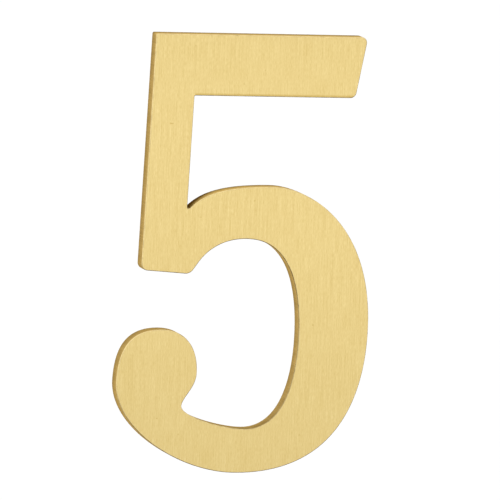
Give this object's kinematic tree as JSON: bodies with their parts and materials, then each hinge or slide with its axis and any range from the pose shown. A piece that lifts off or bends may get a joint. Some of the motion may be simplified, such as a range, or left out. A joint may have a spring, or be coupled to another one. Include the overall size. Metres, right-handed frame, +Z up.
{
  "type": "door number",
  "caption": "Flat brass numeral, a figure 5 with a ball at the end of its bowl, cut from plate with a brushed face and fixed to a door by studs hidden behind it.",
  "frame": {"origin": "on the back, midway between the two stud holes, which is also mid height and mid width of the numeral", "axes": "+X to the right as the numeral is read, +Y out of the back into the door, +Z up; the brushed face looks along -Y"},
  "size_m": [0.0604, 0.003, 0.1016],
  "materials": {
    "brass": "brushed along the stem on the face, plain cut edges"
  },
  "bodies": {
    "root": {"door_number": "brass"}
  },
  "joints": []
}
